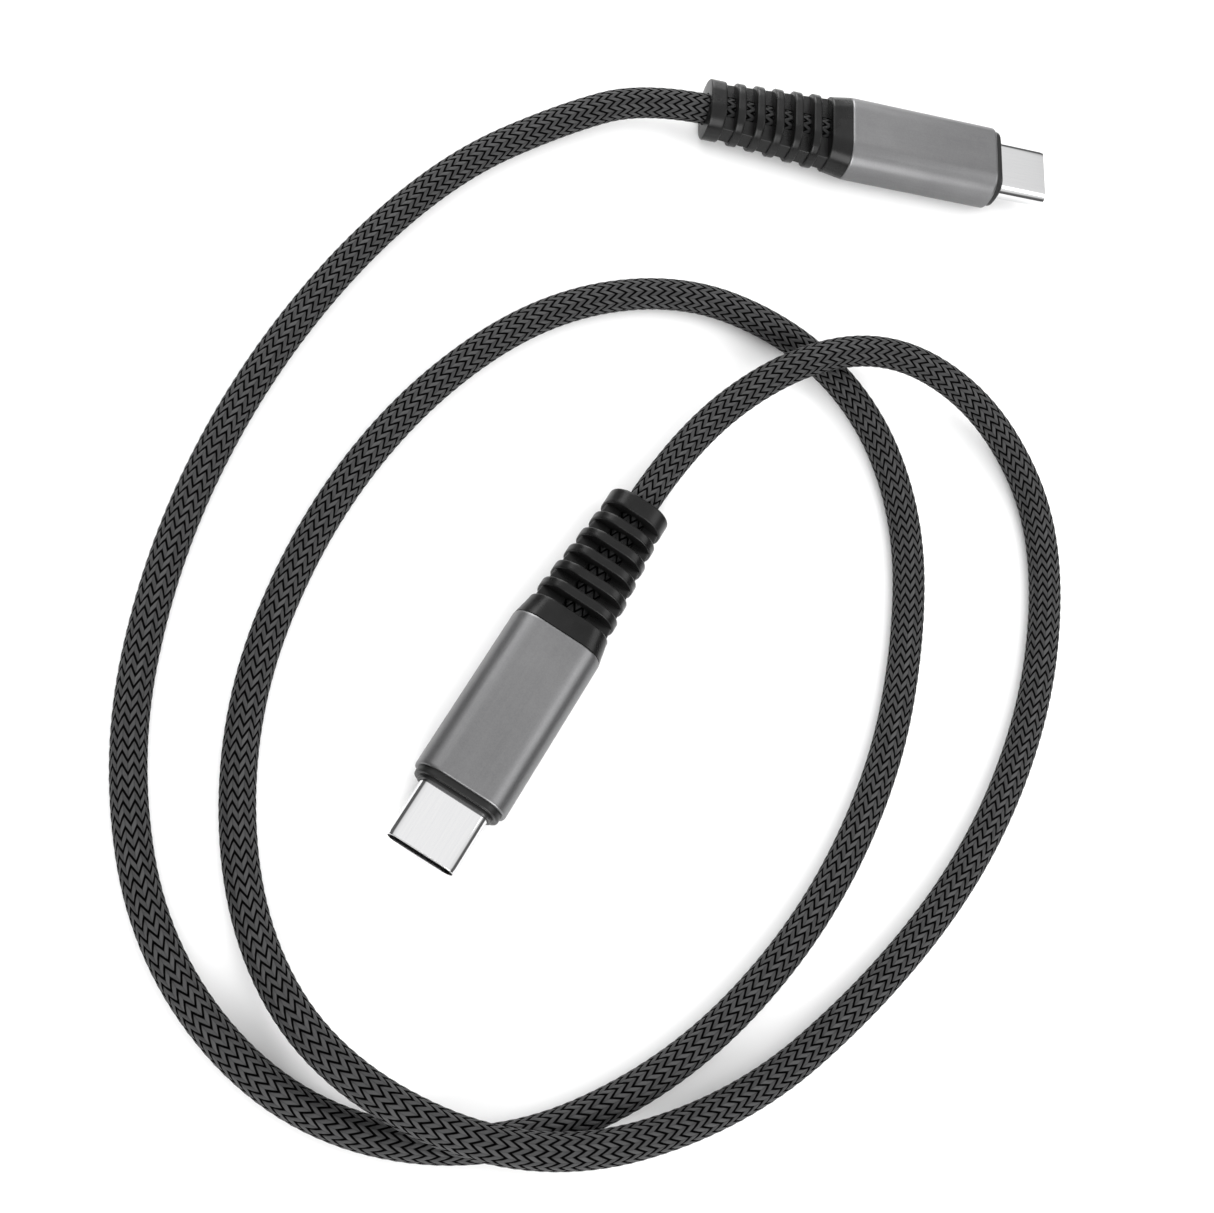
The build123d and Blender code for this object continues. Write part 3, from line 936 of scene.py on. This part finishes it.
# %% [markdown]
# Between the cable and the tip lie an extruded aluminium sleeve, a moulded nose with a step in it, and
# a steel shell that is drawn and a little narrower at its lip. Bevelled cubes could make them, but a
# bevel would have to be told which edges to round and by how much. Rings along the plug say both at
# once, and the inner wall comes with them, so the shell is a real tube with an open mouth.


# %% Housing, nose and shell
def housing_skin():
    """An open tube with a rounded edge at each end."""
    width, height = width_height(housing_low, housing_high)
    outer = rounded_edge(housing_high.x, -1, width, height, housing_corner, housing_edge)[::-1]
    outer += rounded_edge(housing_low.x, 1, width, height, housing_corner, housing_edge)
    inner = (width - 2 * housing_wall, height - 2 * housing_wall, housing_corner - housing_wall)
    return skin(outer + [ring(housing_low.x, *inner), ring(housing_high.x, *inner)])


def nose_skin():
    """A lip that stands out from the sleeve, and a lower tier that the shell comes out of."""
    spigot = spigot_size()
    width, height = spigot[0] + 2 * nose_lip, spigot[1] + 2 * nose_lip
    shell_width, shell_height = width_height(shell_low, shell_high)
    hole = (shell_width + 2 * fit_gap, shell_height + 2 * fit_gap, shell_height / 2 + fit_gap)
    step = 2 * nose_tier_inset
    tier = (width - step, height - step, nose_corner - nose_tier_inset)
    rings = [ring(nose_low.x, *spigot), ring(0, *spigot), ring(0, width, height, nose_corner)]
    rings += rounded_edge(nose_tier, -1, width, height, nose_corner, nose_edge)
    rings += [ring(nose_tier, *tier)]
    rings += rounded_edge(nose_high.x, -1, *tier, nose_edge / 2)
    rings += [ring(nose_high.x, *hole), ring(nose_low.x, *hole)]
    return skin(rings)


def shell_skin():
    """A drawn tube with a slight lead-in at its tip and a rolled lip."""
    width, height = width_height(shell_low, shell_high)
    tip = (width - 2 * drawn_in, height - 2 * drawn_in, height / 2 - drawn_in)
    rings = [ring(shell_low.x, width, height, height / 2)]
    rings += [ring(shell_high.x - lead_in - ring_before_lead_in, width, height, height / 2)]
    rings += rounded_edge(shell_high.x, -1, *tip, shell_lip)
    inner = (width - 2 * shell_wall, height - 2 * shell_wall, height / 2 - shell_wall)
    rings += [ring(shell_high.x, *inner), ring(shell_low.x, *inner)]
    return skin(rings)


for letter in plugs:
    plug_piece("housing_skin_" + letter, letter, [housing_skin()], ["housing_sleeve"],
               "housing_aluminium")
    plug_piece("nose_skin_" + letter, letter, [nose_skin()], ["nose_collar"], "nose_plastic")
    plug_piece("shell_skin_" + letter, letter, [shell_skin()], ["plug_shell"], "shell_steel")

# %% [markdown]
# ## The strain relief
#
# A soft collar, five thin ribs and a thick end ring are moulded in one piece, joined by a rail along
# each side, with open slots between so that it bends with the cable. The ribs repeat by a rule: equal
# steps, each a little narrower. One rib is made as a skin, and Geometry Nodes set it out along the
# boot and draw its sides in, but not its round hole, by an attribute that marks the outer rings.

# %% Strain relief sizes
rib_count = 5
collar_length, ring_length = 2.7 * MM, 2.1 * MM
rib_length, slot_length = 1.15 * MM, 1.39 * MM
boot_corner, boot_edge = 2.7 * MM, 0.2 * MM
shoulder_width, ring_width, boot_height = 10.0 * MM, 7.6 * MM, 6.0 * MM
rail_height, rail_inset, rail_round = 2.6 * MM, 0.4 * MM, 0.22 * MM
rail_buried = 0.5 * MM
bore_gap = 0.10 * MM
bore = cord_radius + bore_gap
shoulder_x = housing_low.x - collar_length
ring_front = boot_low.x + ring_length
spacing = rib_length + slot_length


def boot_width(x):
    """The strain relief's width, which narrows evenly from its shoulder to its end ring."""
    along = (shoulder_x - x) / (shoulder_x - ring_front)
    return shoulder_width + (ring_width - shoulder_width) * along


# %% The ribs' tree
rib_tree, rib_inputs = new_tree("ribs in a row", {
    "Rib": "Object", "Count": "Int", "Spacing": "Float", "Narrowing": "Float", "Finish": "Material"})


def read_attribute(tree, name):
    """The value that each point keeps under this name."""
    return put(tree, "GeometryNodeInputNamedAttribute", {"Name": name}, data_type="FLOAT").outputs[0]


def build_rib_tree(tree):
    """Fills the tree: ribs in a row, each counted, then drawn in by its number."""
    back = maths(tree, "MULTIPLY", rib_inputs["Spacing"], -1.0)
    step = put(tree, "ShaderNodeCombineXYZ", {"X": back}).outputs[0]
    places = put(tree, "GeometryNodeMeshLine", {"Count": rib_inputs["Count"], "Offset": step},
                 mode="OFFSET")
    rib = put(tree, "GeometryNodeObjectInfo", {"Object": rib_inputs["Rib"]},
              transform_space="ORIGINAL")
    row = put(tree, "GeometryNodeInstanceOnPoints", {
        "Points": places.outputs[0], "Instance": rib.outputs["Geometry"]})
    index = put(tree, "GeometryNodeInputIndex").outputs[0]
    counted = put(tree, "GeometryNodeStoreNamedAttribute", data_type="FLOAT", domain="INSTANCE",
                  inputs={"Geometry": row.outputs[0], "Name": "rib", "Value": index})
    real = put(tree, "GeometryNodeRealizeInstances", {"Geometry": counted.outputs[0]})
    rib_index = read_attribute(tree, "rib")
    outer = read_attribute(tree, "outer")
    position = put(tree, "GeometryNodeInputPosition").outputs[0]
    where = put(tree, "ShaderNodeSeparateXYZ", {"Vector": position})
    inwards = maths(tree, "MULTIPLY", maths(tree, "SIGN", where.outputs["Y"]), -0.5)
    narrowing = maths(tree, "MULTIPLY", rib_index, rib_inputs["Narrowing"])
    shift = maths(tree, "MULTIPLY", narrowing, outer)
    offset = put(tree, "ShaderNodeCombineXYZ", {"Y": maths(tree, "MULTIPLY", inwards, shift)}).outputs[0]
    narrowed = put(tree, "GeometryNodeSetPosition", {"Geometry": real.outputs[0], "Offset": offset})
    end_tree(tree, narrowed.outputs[0], rib_inputs["Finish"])


build_rib_tree(rib_tree)
print("ribs in a row:", len(rib_tree.nodes), "nodes")


# %% One slice of the boot, and the row of ribs
def slice_skin(x_front, length, width):
    """A rounded slab with the cable's hole through it. outer is 1 on every ring but the hole's."""
    size = (width, boot_height, boot_corner)
    x_back = x_front - length
    rings = rounded_edge(x_front, -1, *size, boot_edge)[::-1]
    rings += rounded_edge(x_back, 1, *size, boot_edge)
    hole = (2 * bore, 2 * bore, bore)
    mesh = skin(rings + [ring(x_back, *hole), ring(x_front, *hole)])
    outer = mesh.attributes.new("outer", "FLOAT", "POINT")
    just_past_bore = bore * 1.01
    for vertex, mark in zip(mesh.vertices, outer.data):
        mark.value = float(math.hypot(vertex.co.y, vertex.co.z) > just_past_bore)
    return mesh


def rib_row():
    """The five ribs as one mesh."""
    first = shoulder_x - slot_length
    width = boot_width(first - rib_length / 2)
    rib = bpy.data.objects.new("one_rib", slice_skin(first, rib_length, width))
    bpy.context.collection.objects.link(rib)
    narrowing = boot_width(0) - boot_width(-spacing)
    row = mesh_from_tree(rib_tree, "ribs", {
        "Rib": rib, "Count": rib_count, "Spacing": spacing, "Narrowing": narrowing,
        "Finish": finishes["boot_rubber"]})
    bpy.data.objects.remove(rib)
    return row


# %% Collar and side rails
def collar_skin():
    """A plug inside the housing, then a collar that narrows to the shoulder."""
    width, height = width_height(housing_low, housing_high)
    spigot = spigot_size()
    at_housing = (width - 2 * fit_gap, height - 2 * fit_gap, housing_corner - fit_gap)
    hole = (2 * bore, 2 * bore, bore)
    rings = [ring(boot_high.x, *spigot), ring(housing_low.x, *spigot)]
    rings += [ring(housing_low.x, *at_housing)]
    rings += rounded_edge(shoulder_x, 1, shoulder_width, boot_height, boot_corner, boot_edge)
    return skin(rings + [ring(shoulder_x, *hole), ring(boot_high.x, *hole)])


def rail_ring(x, side):
    """The rail's cross-section: round outside, and hollow inside where the cable's hole cuts it."""
    outside = boot_width(x) / 2 - rail_inset
    half_angle = math.asin(rail_height / 2 / bore)
    hollow_steps, corner_steps = 8, 6
    points = []
    for step in range(hollow_steps + 1):
        angle = half_angle * (1 - 2 * step / hollow_steps)
        points.append((bore * math.cos(angle), bore * math.sin(angle)))
    middle_y, middle_z = outside - rail_round, rail_height / 2 - rail_round
    for side_z, first_degree in ((-1, -90), (1, 0)):
        for step in range(corner_steps + 1):
            angle = math.radians(first_degree + 90 * step / corner_steps)
            y = middle_y + rail_round * math.cos(angle)
            z = side_z * middle_z + rail_round * math.sin(angle)
            points.append((y, z))
    return [(x, side * y, z) for y, z in points]


def rail_skin(side):
    """One rail, with its two ends buried in the collar and the end ring."""
    rings = [rail_ring(shoulder_x + rail_buried, side), rail_ring(ring_front - rail_buried, side)]
    return skin(rings, closed=False)


for letter in plugs:
    end_ring = slice_skin(ring_front, ring_length, ring_width)
    parts = [collar_skin(), rib_row(), end_ring, rail_skin(1), rail_skin(-1)]
    plug_piece("boot_skin_" + letter, letter, parts, ["strain_relief"], "boot_rubber")
